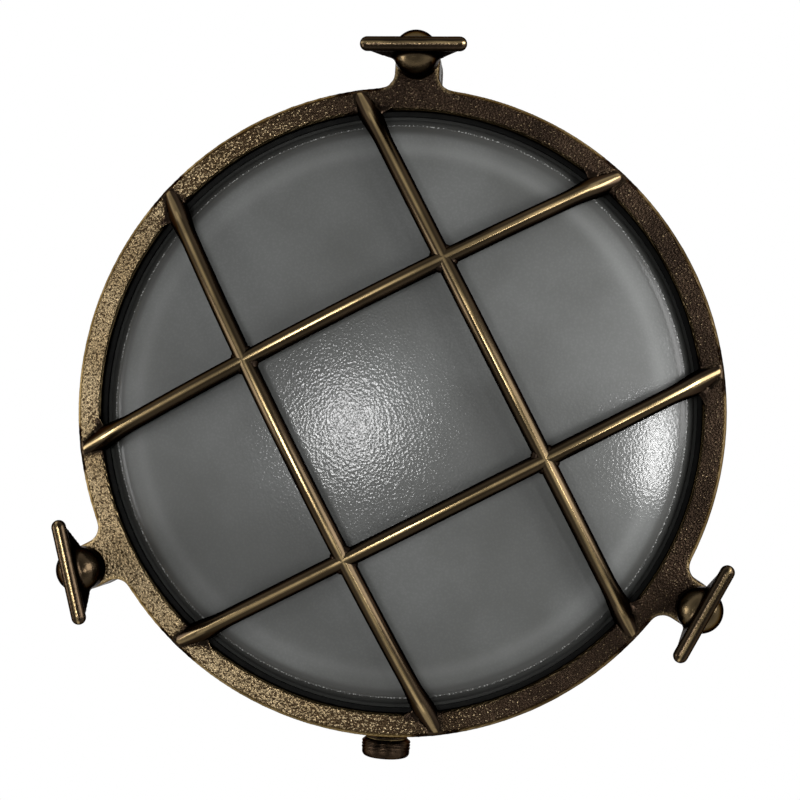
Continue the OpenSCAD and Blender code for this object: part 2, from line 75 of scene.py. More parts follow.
def triples(items, key):
    """Three numbers for each item of a mesh, as rows."""
    values = np.empty(len(items) * 3, np.float32)
    items.foreach_get(key, values)
    return values.reshape(-1, 3)


def drawing(mesh):
    """The mesh's points as across, up and out, in millimetres."""
    points = triples(mesh.vertices, "co") / MM
    return points[:, 0], points[:, 2], -points[:, 1]


low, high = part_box("cage_ring")
print("cage:", round((high[0] - low[0]) / MM, 1), "mm wide, crests", round(-low[1] / MM, 2), "mm from the wall")

# %% [markdown]
# ## Camera
# The photograph is taken from half a metre, a little to the right, with the camera rolled by three degrees.
# A camera can be placed by eye, but here it was fitted to the bars' crossings, the wing tips and the ring's
# outline, so it is written as an eye point, a point that it looks at on the ring's face, and a roll.

# %% Camera
EYE, AIM = spot(41.2, -9.2, FACE + 500.0), spot(0.683, 3.202, FACE)
ROLL = Quaternion((0.0, 0.0, 1.0), math.radians(3.34))
FOCAL_PIXELS, PHOTO_PIXELS = 1638.0, 800.0
lens = bpy.data.cameras.new("photo_camera")
lens.sensor_width = 36.0
lens.lens = FOCAL_PIXELS / PHOTO_PIXELS * lens.sensor_width
lens.clip_start = 0.01
camera = bpy.data.objects.new("photo_camera", lens)
scene.collection.objects.link(camera)
camera.location = EYE
camera.rotation_mode = "QUATERNION"
camera.rotation_quaternion = (AIM - EYE).to_track_quat("-Z", "Y") @ ROLL
scene.camera = camera
print("lens", round(lens.lens, 1), "mm, eye", [round(v, 3) for v in EYE])

# %% [markdown]
# ## Helpers for node trees
# Materials, the world and Geometry Nodes are all node trees. One helper adds a node with its settings and
# its inputs: a plain value is typed into the socket, and another node's output is linked to it. The others
# are sums that come up again and again, and they work in every kind of tree.


# %% Node helpers
def add(tree, kind, sockets=None, **settings):
    """One node in the tree, with settings and inputs filled in."""
    node = tree.nodes.new(kind)
    for name, value in settings.items():
        setattr(node, name, value)
    for key, value in (sockets or {}).items():
        if isinstance(value, bpy.types.NodeSocket):
            tree.links.new(value, node.inputs[key])
        else:
            node.inputs[key].default_value = value
    return node


def calc(tree, operation, a, b=0.0):
    """A sum on one or two numbers."""
    return add(tree, "ShaderNodeMath", {0: a, 1: b}, operation=operation).outputs[0]


def square(tree, value):
    return calc(tree, "POWER", value, 2.0)


def hypotenuse(tree, a, b):
    """The distance that two sides at a right angle make."""
    return calc(tree, "SQRT", calc(tree, "ADD", square(tree, a), square(tree, b)))


def ease(tree, value, start, end, low=0.0, high=1.0):
    """A smooth step: low at start, high at end."""
    sockets = {"Value": value, "From Min": start, "From Max": end, "To Min": low, "To Max": high}
    return add(tree, "ShaderNodeMapRange", sockets, interpolation_type="SMOOTHSTEP").outputs["Result"]


# %% [markdown]
# ## World and lamps
# The photograph has a clean white background, a small bright lamp near the camera's left and a tall soft
# strip on the right. White comes from the rays that the camera, the glass and the metal send into the world,
# and never from more light on the object. Metal lives from what it mirrors, so mirrored rays see a studio:
# a white backdrop behind the light, and a darker room on the camera's side. Diffuse light is an even, low fill.

# %% World
FILL, ROOM, BACKDROP = 0.20, 0.22, 1.0
WHITE = (1, 1, 1, 1)
scene.view_settings.view_transform = "Standard"
world = bpy.data.worlds.new("white_studio")
world.use_nodes = True
scene.world = world
sky = world.node_tree
sky.nodes.clear()
ray = add(sky, "ShaderNodeLightPath").outputs
heading = add(sky, "ShaderNodeTexCoord").outputs["Generated"]
towards_wall = add(sky, "ShaderNodeSeparateXYZ", {0: heading}).outputs["Y"]
mirrored = ease(sky, towards_wall, -0.85, 0.25, ROOM, BACKDROP)
fill, studio, white = (add(sky, "ShaderNodeBackground", {"Color": WHITE, "Strength": strength}).outputs[0]
                       for strength in (FILL, mirrored, BACKDROP))
seen = calc(sky, "MAXIMUM", ray["Is Camera Ray"], ray["Is Transmission Ray"])
lit = add(sky, "ShaderNodeMixShader", {0: ray["Is Glossy Ray"], 1: fill, 2: studio}).outputs[0]
shown = add(sky, "ShaderNodeMixShader", {0: seen, 1: lit, 2: white}).outputs[0]
add(sky, "ShaderNodeOutputWorld", {"Surface": shown})
print("world nodes:", len(sky.nodes))


# %% Lamps
def softbox(name, at, towards, power, width, height, shape="RECTANGLE"):
    """A studio lamp that faces a point on the light."""
    lamp = bpy.data.lights.new(name, "AREA")
    lamp.shape = shape
    lamp.size, lamp.size_y = width, height
    lamp.energy = power
    stand = bpy.data.objects.new(name, lamp)
    stand.location = at
    stand.rotation_euler = (towards - at).to_track_quat("-Z", "Y").to_euler()
    scene.collection.objects.link(stand)


middle = spot(0, 0, 40)
softbox("lamp_by_camera", spot(-107, -20, FACE + 500), middle, 0.58, 0.11, 0.11, "ELLIPSE")
softbox("strip_right", spot(431, -37, FACE + 520), middle, 0.50, 0.045, 0.15)
softbox("wide_right", spot(430, 120, FACE + 200), spot(60, 0, FACE), 1.9, 0.30, 0.30)
softbox("low_left", spot(-345, -60, FACE + 95), spot(-85, -35, FACE), 0.36, 0.16, 0.16, "ELLIPSE")

# %% [markdown]
# ## Floor
# The light hangs on a wall, so the floor is a plain pale disc below it. It stays outside the photograph's
# frame, and keeps the shadow in the other views. A wall would hide the back, which is looked at as well.
# For camera rays about half of the paper's white is its own, so that it stays pale in this low light, and it
# fades out towards its edge.

# %% Floor
FLOOR_R, FLOOR_Z = 0.27, -0.215
floor_mesh = bpy.data.meshes.new("floor")
disc = bmesh.new()
bmesh.ops.create_circle(disc, cap_ends=True, segments=96, radius=FLOOR_R,
                        matrix=Matrix.Translation((0, 0, FLOOR_Z)))
disc.to_mesh(floor_mesh)
disc.free()
floor = bpy.data.objects.new("floor", floor_mesh)
scene.collection.objects.link(floor)
print("floor: radius", FLOOR_R, "m, at height", FLOOR_Z, "m")

# %% Paper for the floor
OWN_WHITE = 0.55
FADE_FROM, FADE_TO = 0.6 * FLOOR_R, 0.98 * FLOOR_R
paper = bpy.data.materials.new("pale_floor")
paper.use_nodes = True
sheet = paper.node_tree
sheet.nodes.clear()
matt = add(sheet, "ShaderNodeBsdfDiffuse", {"Color": (0.86, 0.86, 0.85, 1)}).outputs[0]
glow = add(sheet, "ShaderNodeEmission", {"Color": WHITE, "Strength": 1.0}).outputs[0]
clear = add(sheet, "ShaderNodeBsdfTransparent").outputs[0]
half_seen = calc(sheet, "MULTIPLY", add(sheet, "ShaderNodeLightPath").outputs["Is Camera Ray"], OWN_WHITE)
pale = add(sheet, "ShaderNodeMixShader", {0: half_seen, 1: matt, 2: glow}).outputs[0]
spread = add(sheet, "ShaderNodeSeparateXYZ", {0: add(sheet, "ShaderNodeTexCoord").outputs["Object"]}).outputs
faded = ease(sheet, hypotenuse(sheet, spread["X"], spread["Y"]), FADE_FROM, FADE_TO)
surface = add(sheet, "ShaderNodeMixShader", {0: faded, 1: pale, 2: clear}).outputs[0]
add(sheet, "ShaderNodeOutputMaterial", {"Surface": surface})
floor_mesh.materials.append(paper)
print("paper nodes:", len(sheet.nodes))

# %% [markdown]
# ## Dark cast brass
# Sand casting leaves a pebbled face. The antique finish is a dark brown patina that stays in the hollows, and
# handling rubs it off the crests. Five numbers on each point of a mesh steer this: rub is bare metal, and on
# some edges a painted highlight; worn is how far the grains' tops are bare, and on the ring's left side also
# paler grains painted where the light falls; thin is where the patina lets the metal shine through, and on the
# housing's back also painted light; grain is where the sand texture shows, and hollow is where dirt stays. One
# could paint them by hand; here the wear is measured from the shape, so it sits where a cloth would reach, and
# the painted light follows the side that the lamps light.


# %% A finish to start from
def new_finish(name, uniform):
    """A material with the values that are the same all over."""
    material = bpy.data.materials.new(name)
    material.use_nodes = True
    shader = material.node_tree.nodes["Principled BSDF"]
    for key, value in uniform.items():
        shader.inputs[key].default_value = value
    return material, material.node_tree, shader


def plug(tree, shader, **sockets):
    """Links outputs to the shader's inputs; Base_Color stands for Base Color."""
    for key, output in sockets.items():
        tree.links.new(output, shader.inputs[key.replace("_", " ")])


def mark(tree, key):
    """A number that a mesh carries on its points."""
    return add(tree, "ShaderNodeAttribute", attribute_name=key).outputs["Fac"]


def mix(tree, amount, a, b):
    """Two colours, mixed."""
    return add(tree, "ShaderNodeMix", {0: amount, 6: a, 7: b}, data_type="RGBA").outputs[2]


def noise(tree, where, scale, detail):
    """An even noise on the light's own coordinates; scale is patches per metre."""
    sockets = {"Vector": where, "Scale": scale, "Detail": detail}
    return add(tree, "ShaderNodeTexNoise", sockets).outputs["Fac"]


def pebbles(tree, where, scale, smoothness):
    """Rounded cells, by the distance from each cell's middle."""
    sockets = {"Vector": where, "Scale": scale, "Smoothness": smoothness, "Randomness": 1.0}
    return add(tree, "ShaderNodeTexVoronoi", sockets, feature="SMOOTH_F1").outputs["Distance"]


# %% Cast brass with a dark patina
PATINA = (0.021, 0.0140, 0.0102, 1), (0.039, 0.0253, 0.0172, 1)
WORN_PATINA, THIN_PATINA = (0.070, 0.045, 0.023, 1), (0.138, 0.103, 0.053, 1)
GRAIN_TOPS = (0.35, 0.255, 0.138, 1), (0.49, 0.375, 0.220, 1)
BARE_BRASS, DIRT = (0.74, 0.54, 0.27, 1), (0.018, 0.0125, 0.0088, 1)
SAND_HIGH = 0.00056


def cast_brass(name):
    """Sand-cast brass under a dark patina, bare where the marks say so; some marks also carry painted light."""
    material, tree, shader = new_finish(name, {"Metallic": 1.0, "Specular Tint": (0.15, 0.13, 0.115, 1)})
    where = add(tree, "ShaderNodeTexCoord").outputs["Object"]
    tops = ease(tree, pebbles(tree, where, 1300.0, 0.4), 0.65, 0.10)
    sand, grit, cloud = (noise(tree, where, *size) for size in ((1550.0, 2.0), (4200.0, 2.0), (55.0, 4.0)))
    rub, worn, thin, grain, hollow = (mark(tree, key) for key in ("rub", "worn", "thin", "grain", "hollow"))
    relief = calc(tree, "ADD", calc(tree, "MULTIPLY", tops, 0.35), calc(tree, "MULTIPLY", sand, 1.1))
    height = calc(tree, "ADD", relief, calc(tree, "MULTIPLY", grit, 0.25))
    height, specks = calc(tree, "MULTIPLY", height, grain), calc(tree, "MULTIPLY", grit, grain)
    bump = add(tree, "ShaderNodeBump", {"Strength": 1.0, "Distance": SAND_HIGH, "Height": height})

    brown = mix(tree, ease(tree, cloud, 0.35, 0.70), *PATINA)
    # worn grains lighten the patina; on the ring's left side this is also painted light
    brown = mix(tree, ease(tree, worn, 0.05, 0.75), brown, WORN_PATINA)
    # a thin patina lets the metal show; on the housing's back this is also painted light
    brown = mix(tree, thin, brown, THIN_PATINA)
    tan = mix(tree, ease(tree, cloud, 0.3, 0.7), *GRAIN_TOPS)
    bare_above = calc(tree, "SUBTRACT", 1.05, calc(tree, "MULTIPLY", worn, 0.52))
    bare = ease(tree, calc(tree, "SUBTRACT", relief, bare_above), -0.10, 0.12)
    colour = mix(tree, calc(tree, "MULTIPLY", bare, ease(tree, worn, 0.0, 0.30)), brown, tan)
    # bare brass where rubbed, and on some edges a painted highlight
    smear = calc(tree, "MULTIPLY", rub, ease(tree, cloud, 0.30, 0.65, 0.5, 1.0))
    colour = mix(tree, smear, colour, BARE_BRASS)
    colour = mix(tree, calc(tree, "MULTIPLY", hollow, 0.8), colour, DIRT)
    dull = calc(tree, "ADD", calc(tree, "ADD", specks, hollow), calc(tree, "MULTIPLY", smear, 0.6))
    rough = ease(tree, dull, 0.0, 1.3, 0.22, 0.42)
    plug(tree, shader, Base_Color=colour, Roughness=rough, Normal=bump.outputs["Normal"])
    return material


dark_brass = cast_brass("dark_cast_brass")
print("brass nodes:", len(dark_brass.node_tree.nodes))

# %% [markdown]
# ## The cage: cast skin
# The cage is one casting: a ring with three lugs and four arched bars. Its solid has knife-sharp edges, which
# no sand mould gives. A bevel on every edge of such a mesh is hard to keep clean, so a merged copy is rebuilt
# from small voxels and smoothed a little, which softens all edges alike. The copy is first turned by the
# bars' own angle, so that the voxels run along the bars and leave no steps on them.

# %% Cast skin from a solid
CAGE_VOXEL = 0.00078


def merged_copy(node):
    """A copy of a solid's mesh with its loose triangles joined."""
    mesh = nodes[node].data.copy()
    work = bmesh.new()
    work.from_mesh(mesh)
    bmesh.ops.remove_doubles(work, verts=work.verts, dist=1e-6)
    work.to_mesh(mesh)
    work.free()
    mesh.materials.clear()
    return mesh


def evaluated(mesh, *stack):
    """The mesh after a stack of modifiers, given as (type, values)."""
    bench = bpy.data.objects.new("bench", mesh)
    scene.collection.objects.link(bench)
    for kind, values in stack:
        modifier = bench.modifiers.new(kind.lower(), kind)
        for key, value in values.items():
            setattr(modifier, key, value)
    graph = bpy.context.evaluated_depsgraph_get()
    result = bpy.data.meshes.new_from_object(bench.evaluated_get(graph))
    bpy.data.objects.remove(bench)
    return result


def cast_skin(node, voxel, passes, turn=0.0):
    """A solid's mesh with the soft edges of a casting."""
    mesh = merged_copy(node)
    mesh.transform(Matrix.Rotation(turn, 4, "Y"))
    skin = evaluated(mesh, ("REMESH", {"mode": "VOXEL", "voxel_size": voxel}),
                     ("SMOOTH", {"factor": 0.5, "iterations": passes}))
    skin.transform(Matrix.Rotation(-turn, 4, "Y"))
    return skin


casting = cast_skin("cage_ring", CAGE_VOXEL, 2, BAR_TURN)
print("cast ring:", len(casting.polygons), "faces")


# %% [markdown]
# ## The cage: hollows and crests
# Metal runs into corners in a mould, so the bars flow into the ring and into each other with soft fillets.
# Where a surface bulges, a cloth rubs it, and where it is hollow, dirt stays. Both follow from each point and
# its neighbours: if the neighbours' mean lies below the surface, the point sticks out. That is a short sum in
# NumPy. The same neighbours smooth the hollows alone, which grows the fillets and leaves the crests sharp.

# %% Neighbours on a mesh
class Neighbours:
    """Sums over the points that share an edge with each point of a mesh."""

    def __init__(self, mesh):
        self.count = len(mesh.vertices)
        ends = np.empty(len(mesh.edges) * 2, np.int32)
        mesh.edges.foreach_get("vertices", ends)
        self.a, self.b = ends.reshape(-1, 2).T
        self.links = np.maximum(np.bincount(self.a, minlength=self.count)
                                + np.bincount(self.b, minlength=self.count), 1)

    def mean(self, values):
        """The mean of the neighbours' values."""
        return (np.bincount(self.a, values[self.b], self.count)
                + np.bincount(self.b, values[self.a], self.count)) / self.links

    def gap(self, points):
        """The mean distance to the neighbours."""
        gap = np.linalg.norm(points[self.a] - points[self.b], axis=1)
        return (np.bincount(self.a, gap, self.count) + np.bincount(self.b, gap, self.count)) / self.links


def bulge(mesh, passes=2):
    """How sharply each point stands out of its neighbours, in 1/mm; hollows are negative."""
    around = Neighbours(mesh)
    points, normals = triples(mesh.vertices, "co") / MM, triples(mesh.vertex_normals, "vector")
    proud = sum((points[:, k] - around.mean(points[:, k])) * normals[:, k] for k in range(3))
    value = proud / np.maximum(around.gap(points), 0.05) ** 2
    for _ in range(passes):
        value = 0.5 * value + 0.5 * around.mean(value)
    return value


print("hollow points of the cast ring:", int((bulge(casting) < -0.05).sum()))

# %% Fillets in the hollows
FILLET_PASSES, FILLET_SPREAD = 36, 3
LEAST_SHARE = 0.22  # of the smoothing, along the bars, so that their crests stay sharp


def smooth_step(value, start, end):
    """0 up to start, 1 from end on."""
    t = np.clip((value - start) / (end - start), 0.0, 1.0)
    return t * t * (3.0 - 2.0 * t)


def fade(value, start, end):
    """1 up to start, 0 from end on."""
    return 1.0 - smooth_step(value, start, end)


def soften_hollows(mesh, passes, spread, share=1.0):
    """Smooths only the hollow places of a mesh; share weighs each point."""
    around = Neighbours(mesh)
    amount = smooth_step(-bulge(mesh), 0.05, 0.16)
    for _ in range(spread):
        amount = np.maximum(amount, 0.96 * around.mean(amount) + 0.04 * amount)
        amount = np.maximum(amount, np.minimum(1.0, 1.25 * around.mean(amount)))
    points = triples(mesh.vertices, "co").astype(np.float64)
    for _ in range(passes):
        for k in range(3):
            points[:, k] += 0.6 * share * amount * (around.mean(points[:, k]) - points[:, k])
    mesh.vertices.foreach_set("co", points.astype(np.float32).ravel())
    mesh.update()
    return amount


def bar_axes(x, y):
    """Across and up, turned so that the bars run along them."""
    return (x * math.cos(BAR_TURN) + y * math.sin(BAR_TURN),
            -x * math.sin(BAR_TURN) + y * math.cos(BAR_TURN))


def from_crossing(x, y):
    """Distance of each point from the nearest crossing of two bars."""
    along, aside = bar_axes(x, y)
    return np.hypot(np.abs(along) - BAR_OFFSET, np.abs(aside) - BAR_OFFSET)


x, y, z = drawing(casting)
by_ring, by_crossing = smooth_step(np.hypot(x, y), 72.0, 88.0), fade(from_crossing(x, y), 7.0, 11.0)
share = LEAST_SHARE + (1.0 - LEAST_SHARE) * np.maximum(by_ring, by_crossing)
fillets = soften_hollows(casting, FILLET_PASSES, FILLET_SPREAD, share)
print("points moved into fillets:", int((fillets > 0.3).sum()), "of", len(fillets))

# %% [markdown]
# ## The cage: arched bars
# Each bar is a pointed arch in section and follows a long arc, and the four are one bar turned by quarter
# turns. That is a rule, so Geometry Nodes make it: an arc, a section swept along it, feet that widen where
# the metal runs into the ring, tips filed down to the ring as the founder does, and four instances. The swept
# bars lie a tenth of a millimetre over the cast ones, and give them the crisp crest that voxels lose.

# %% The bar's section
BAR_W, RIDGE, UNDER = 5.2, 3.4, 1.2  # width, height of the arch, and the straight foot below it
CREST_R, PROUD = 1.5, 0.10  # the crest's rounding, and how far the bar stands over the cast one
flank_r = (RIDGE ** 2 / (BAR_W / 2) + BAR_W / 2) / 2
flank_c = flank_r - BAR_W / 2


def arch(off):
    """How far the sharp arch lies below its apex, at a distance from its middle."""
    return RIDGE - np.sqrt(np.maximum(flank_r ** 2 - (off + flank_c) ** 2, 0.0))


crest_half = math.asin(flank_c / flank_r)
crest_off = CREST_R * math.sin(crest_half)
crest_c = -arch(crest_off) - CREST_R * math.cos(crest_half)
flank = [(off, -arch(off)) for off in np.linspace(BAR_W / 2, crest_off, 14)[:-1]]
crest = [(CREST_R * math.sin(a), crest_c + CREST_R * math.cos(a)) for a in np.linspace(crest_half, 0.0, 4)]
one_side = [(BAR_W / 2, -RIDGE - UNDER)] + flank + crest[:-1]
one_side = [(off + PROUD, out + PROUD) for off, out in one_side]
bar_outline = one_side + [(0.0, crest[-1][1] + PROUD)] + [(-off, out) for off, out in reversed(one_side)]
section = bpy.data.curves.new("bar_section", "CURVE")
section.dimensions = "3D"
stroke = section.splines.new("POLY")
stroke.points.add(len(bar_outline) - 1)
for point, (across, out) in zip(stroke.points, bar_outline):
    point.co = (out * MM, across * MM, 0.0, 1.0)
stroke.use_cyclic_u = True
section_object = bpy.data.objects.new("bar_section", section)
scene.collection.objects.link(section_object)
print("section points:", len(bar_outline), "rounded crest", round(2 * crest_off, 2), "mm wide")

# %% The bars' sizes
RISE = 18.5  # how far the arch rises over the ring's face
TIP_R, TIP_END = RING - 12.0, RING - 1.1  # where the filed tip starts and ends
TIP_CROWN, TIP_PROUD = 0.28, 0.05  # its rounding across the bar, and how far it stands over the cast one
END_GAP, RIM_GAP = 0.4, 0.9  # what the bar's ends leave free, along the bar and at the rim
half = math.sqrt(RING ** 2 - BAR_OFFSET ** 2)
arc_r = (half ** 2 + RISE ** 2) / (2 * RISE)
arc_c = FACE + RISE - arc_r
tip_z = arc_c + math.sqrt(arc_r ** 2 - TIP_R ** 2 + BAR_OFFSET ** 2)
tip_slope = (FACE - tip_z) / (TIP_END - TIP_R)
bar_sizes = {
    "Section": section_object, "Bars": 4, "Crest radius": arc_r * MM, "Crest out": (FACE + RISE) * MM,
    "Offset": BAR_OFFSET * MM, "Half sweep": math.asin((half - END_GAP) / arc_r), "Turn": BAR_TURN,
    "Ring radius": (RING - RIM_GAP) * MM, "Tip start": TIP_R * MM, "Tip out": (tip_z + TIP_PROUD) * MM,
    "Tip slope": tip_slope, "Tip crown": TIP_CROWN / MM, "Ridge height": RIDGE * MM, "Flare": 0.30,
    "Flare starts": 0.082, "Flare full": 0.093, "Flare fades": 0.095, "Flare ends": 0.101}
print("arc radius", round(arc_r, 1), "mm; filed from", round(tip_z - FACE, 2), "mm above the face")


# %% A tree with named inputs
def new_tree(name, sizes):
    """An empty Geometry Nodes tree with a named input for each size."""
    tree = bpy.data.node_groups.new(name, "GeometryNodeTree")
    tree.interface.new_socket("Geometry", in_out="OUTPUT", socket_type="NodeSocketGeometry")
    for title, value in sizes.items():
        kind = "Int" if isinstance(value, int) else "Float" if isinstance(value, float) else "Object"
        tree.interface.new_socket(title, in_out="INPUT", socket_type="NodeSocket" + kind)
    return tree, tree.nodes.new("NodeGroupInput").outputs, tree.nodes.new("NodeGroupOutput").inputs


tree, bar_in, bar_out = new_tree("arched_bars", bar_sizes)
print("inputs of the bars' tree:", ", ".join(bar_sizes))

# %% Sweep one bar
ARC_POINTS = 141
start = calc(tree, "SUBTRACT", -math.pi / 2, bar_in["Half sweep"])
arc = add(tree, "GeometryNodeCurveArc", {
    "Resolution": ARC_POINTS, "Radius": bar_in["Crest radius"], "Start Angle": start,
    "Sweep Angle": calc(tree, "MULTIPLY", bar_in["Half sweep"], 2.0)})
down = calc(tree, "SUBTRACT", bar_in["Crest radius"], bar_in["Crest out"])
seat = add(tree, "ShaderNodeCombineXYZ", {"Y": down, "Z": bar_in["Offset"]}).outputs[0]
bar_line = add(tree, "GeometryNodeTransform", {"Geometry": arc.outputs["Curve"], "Translation": seat})
profile = add(tree, "GeometryNodeObjectInfo", {"Object": bar_in["Section"]})
sweep = add(tree, "GeometryNodeCurveToMesh", {
    "Curve": bar_line.outputs[0], "Profile Curve": profile.outputs["Geometry"], "Fill Caps": True})
print("sweep:", len(tree.nodes), "nodes")

# %% File its tips
place = add(tree, "ShaderNodeSeparateXYZ", {0: add(tree, "GeometryNodeInputPosition").outputs[0]}).outputs
reach = hypotenuse(tree, place["X"], place["Z"])
aside = calc(tree, "SUBTRACT", place["Z"], bar_in["Offset"])
past = calc(tree, "SUBTRACT", reach, bar_in["Tip start"])
crowned = calc(tree, "MULTIPLY", square(tree, aside), bar_in["Tip crown"])
crowned = calc(tree, "MULTIPLY", crowned, calc(tree, "GREATER_THAN", past, 0.0))
allowed = calc(tree, "ADD", bar_in["Tip out"], calc(tree, "MULTIPLY", past, bar_in["Tip slope"]))
allowed = calc(tree, "SUBTRACT", allowed, crowned)
filed = calc(tree, "MAXIMUM", place["Y"], calc(tree, "MULTIPLY", allowed, -1.0))
inward = calc(tree, "MINIMUM", calc(tree, "DIVIDE", bar_in["Ring radius"], reach), 1.0)
print("with filed tips:", len(tree.nodes), "nodes")

# %% Widen its feet
below_arc = calc(tree, "SUBTRACT", square(tree, bar_in["Crest radius"]), square(tree, place["X"]))
crest_y = calc(tree, "SUBTRACT", down, calc(tree, "SQRT", below_arc))
depth = calc(tree, "DIVIDE", calc(tree, "SUBTRACT", place["Y"], crest_y), bar_in["Ridge height"])
depth = calc(tree, "MINIMUM", calc(tree, "MAXIMUM", depth, 0.0), 1.0)
swelling = calc(tree, "SUBTRACT", ease(tree, reach, bar_in["Flare starts"], bar_in["Flare full"]),
                ease(tree, reach, bar_in["Flare fades"], bar_in["Flare ends"]))
wider = calc(tree, "MULTIPLY", calc(tree, "MULTIPLY", depth, bar_in["Flare"]), swelling)
flared = calc(tree, "MULTIPLY", aside, calc(tree, "ADD", wider, 1.0))
flared = calc(tree, "ADD", flared, bar_in["Offset"])
print("with wider feet:", len(tree.nodes), "nodes")

# %% Repeat the bar
new_place = add(tree, "ShaderNodeCombineXYZ", {
    "X": calc(tree, "MULTIPLY", place["X"], inward), "Y": filed,
    "Z": calc(tree, "MULTIPLY", flared, inward)}).outputs[0]
one_bar = add(tree, "GeometryNodeSetPosition", {"Geometry": sweep.outputs[0], "Position": new_place})
seats = add(tree, "GeometryNodePoints", {"Count": bar_in["Bars"]})
quarter = calc(tree, "DIVIDE", 2 * math.pi, bar_in["Bars"])
quarters = calc(tree, "MULTIPLY", add(tree, "GeometryNodeInputIndex").outputs[0], quarter)
swing = calc(tree, "MULTIPLY", calc(tree, "ADD", quarters, bar_in["Turn"]), -1.0)
turns = add(tree, "ShaderNodeCombineXYZ", {"Y": swing}).outputs[0]
four = add(tree, "GeometryNodeInstanceOnPoints", {
    "Points": seats.outputs[0], "Instance": one_bar.outputs[0], "Rotation": turns})
solid = add(tree, "GeometryNodeRealizeInstances", {"Geometry": four.outputs[0]})
painted = add(tree, "GeometryNodeSetMaterial", {"Geometry": solid.outputs[0], "Material": dark_brass})
tree.links.new(painted.outputs[0], bar_out["Geometry"])
print("arched bars:", len(tree.nodes), "nodes")


# %% Grow the bars
def grow(tree, sizes, name):
    """Runs a tree on an empty mesh with its inputs set, and returns the plain mesh."""
    seed = bpy.data.objects.new(name, bpy.data.meshes.new(name))
    scene.collection.objects.link(seed)
    modifier = seed.modifiers.new("nodes", "NODES")
    modifier.node_group = tree
    for item in tree.interface.items_tree:
        if item.in_out == "INPUT":
            modifier[item.identifier] = sizes[item.name]
    graph = bpy.context.evaluated_depsgraph_get()
    result = bpy.data.meshes.new_from_object(seed.evaluated_get(graph))
    bpy.data.objects.remove(seed)
    return result


swept_bars = grow(tree, bar_sizes, "bars")
bpy.data.objects.remove(section_object)
highest = float(drawing(swept_bars)[2].max())
print("bars:", len(swept_bars.polygons), "faces, highest crest", round(highest, 2), "mm out")

# %% [markdown]
# ## The cage: one casting
# Skin and bars become one mesh, as the real cage is one casting. Two surfaces that nearly touch would show
# through each other, so the cast bars are first drawn a quarter of a millimetre inside the swept ones, and
# their tips are filed by the same rule. Cutting them out would leave holes where the bars meet the ring.


# %% Places on the bars
def beside_bars(x, y):
    """Distance of each point from the nearest bar's middle line, and how far along that bar it lies."""
    along, aside = bar_axes(x, y)
    one, other = np.abs(np.abs(aside) - BAR_OFFSET), np.abs(np.abs(along) - BAR_OFFSET)
    return np.minimum(one, other), np.where(one < other, along, aside)


def crest_height(length):
    """How far out a bar's crest stands, by the distance along the bar."""
    return arc_c + np.sqrt(np.maximum(arc_r ** 2 - length ** 2, 0.0))


def tip_height(radius, off):
    """How far out the filed tips reach; they are rounded across, so that they end in a leaf."""
    return tip_z + (radius - TIP_R) * tip_slope - TIP_CROWN * off ** 2


x, y, z = drawing(casting)
radius, (off, length) = np.hypot(x, y), beside_bars(x, y)
print("points on the cast bars:", int((off < BAR_W / 2).sum()))

# %% Draw the cast bars in and join the cage
INSET = 0.25


def joined(name, *meshes):
    """Several meshes as one."""
    work = bmesh.new()
    for mesh in meshes:
        work.from_mesh(mesh)
    whole = bpy.data.meshes.new(name)
    work.to_mesh(whole)
    work.free()
    return whole


on_bar = fade(off, 2.9, 3.3) * fade(radius, RING_IN - 3.0, RING_IN)
inset = INSET * on_bar * fade(fillets, 0.10, 0.60)
move = triples(casting.vertex_normals, "vector") * inset[:, None]
x, y, z = x - move[:, 0], y - move[:, 2], z + move[:, 1]
under_crest = np.maximum(crest_height(length) - arch(off) - INSET, FACE)
z = np.where((off < 1.7) & (z > FACE), np.minimum(z, under_crest), z)
on_tip = (off < BAR_W / 2) & (radius > TIP_R)
z = np.where(on_tip, np.minimum(z, np.maximum(tip_height(radius, off) - INSET, FACE)), z)
casting.vertices.foreach_set("co", np.stack([x, -z, y], 1).astype(np.float32).ravel() * MM)
casting.update()
skin_bulge = bulge(casting)
cage_mesh = joined("cage", casting, swept_bars)
print("points filed:", int(on_tip.sum()), "and drawn inside the swept bars:", int((inset > 0.1).sum()))

# %% [markdown]
# ## The cage: wear and painted light
# The marks for the finish are written on the cage's points: the crests and filed tips are bare, the corners
# are darkened, and the flat face shows the sand. In the photograph the grains of the left side are rubbed
# pale and the ring's edges catch the light there, so worn and rub grow towards that side: partly wear, and
# partly a paler side and edge highlights painted into the colour. A painted picture would do the same, but
# marks on points need no unwrapping and stay with the shape when a size changes.

# %% Bare crests, darkened corners
x, y, z = drawing(cage_mesh)
radius, (off, length) = np.hypot(x, y), beside_bars(x, y)
on_skin = np.arange(len(x)) < len(skin_bulge)
swell, filled = (np.pad(values, (0, len(x) - len(values))) for values in (skin_bulge, fillets))
from_crest = z - crest_height(length)
crest_line = fade(off, 0.12, 0.75) * smooth_step(from_crest, -0.8, -0.3)
crest_line *= fade(radius, TIP_R + 3.0, TIP_R + 5.0)
leaf = smooth_step(z - tip_height(radius, off), -0.20, -0.04) * smooth_step(radius, TIP_R + 0.5, TIP_R + 2.5)
narrow = 1.0 - 0.3 * smooth_step(radius, TIP_R + 5.0, TIP_END)
leaf = leaf * fade(off, 0.70 * narrow, 1.20 * narrow) * smooth_step(z, FACE + 0.02, FACE + 0.15)
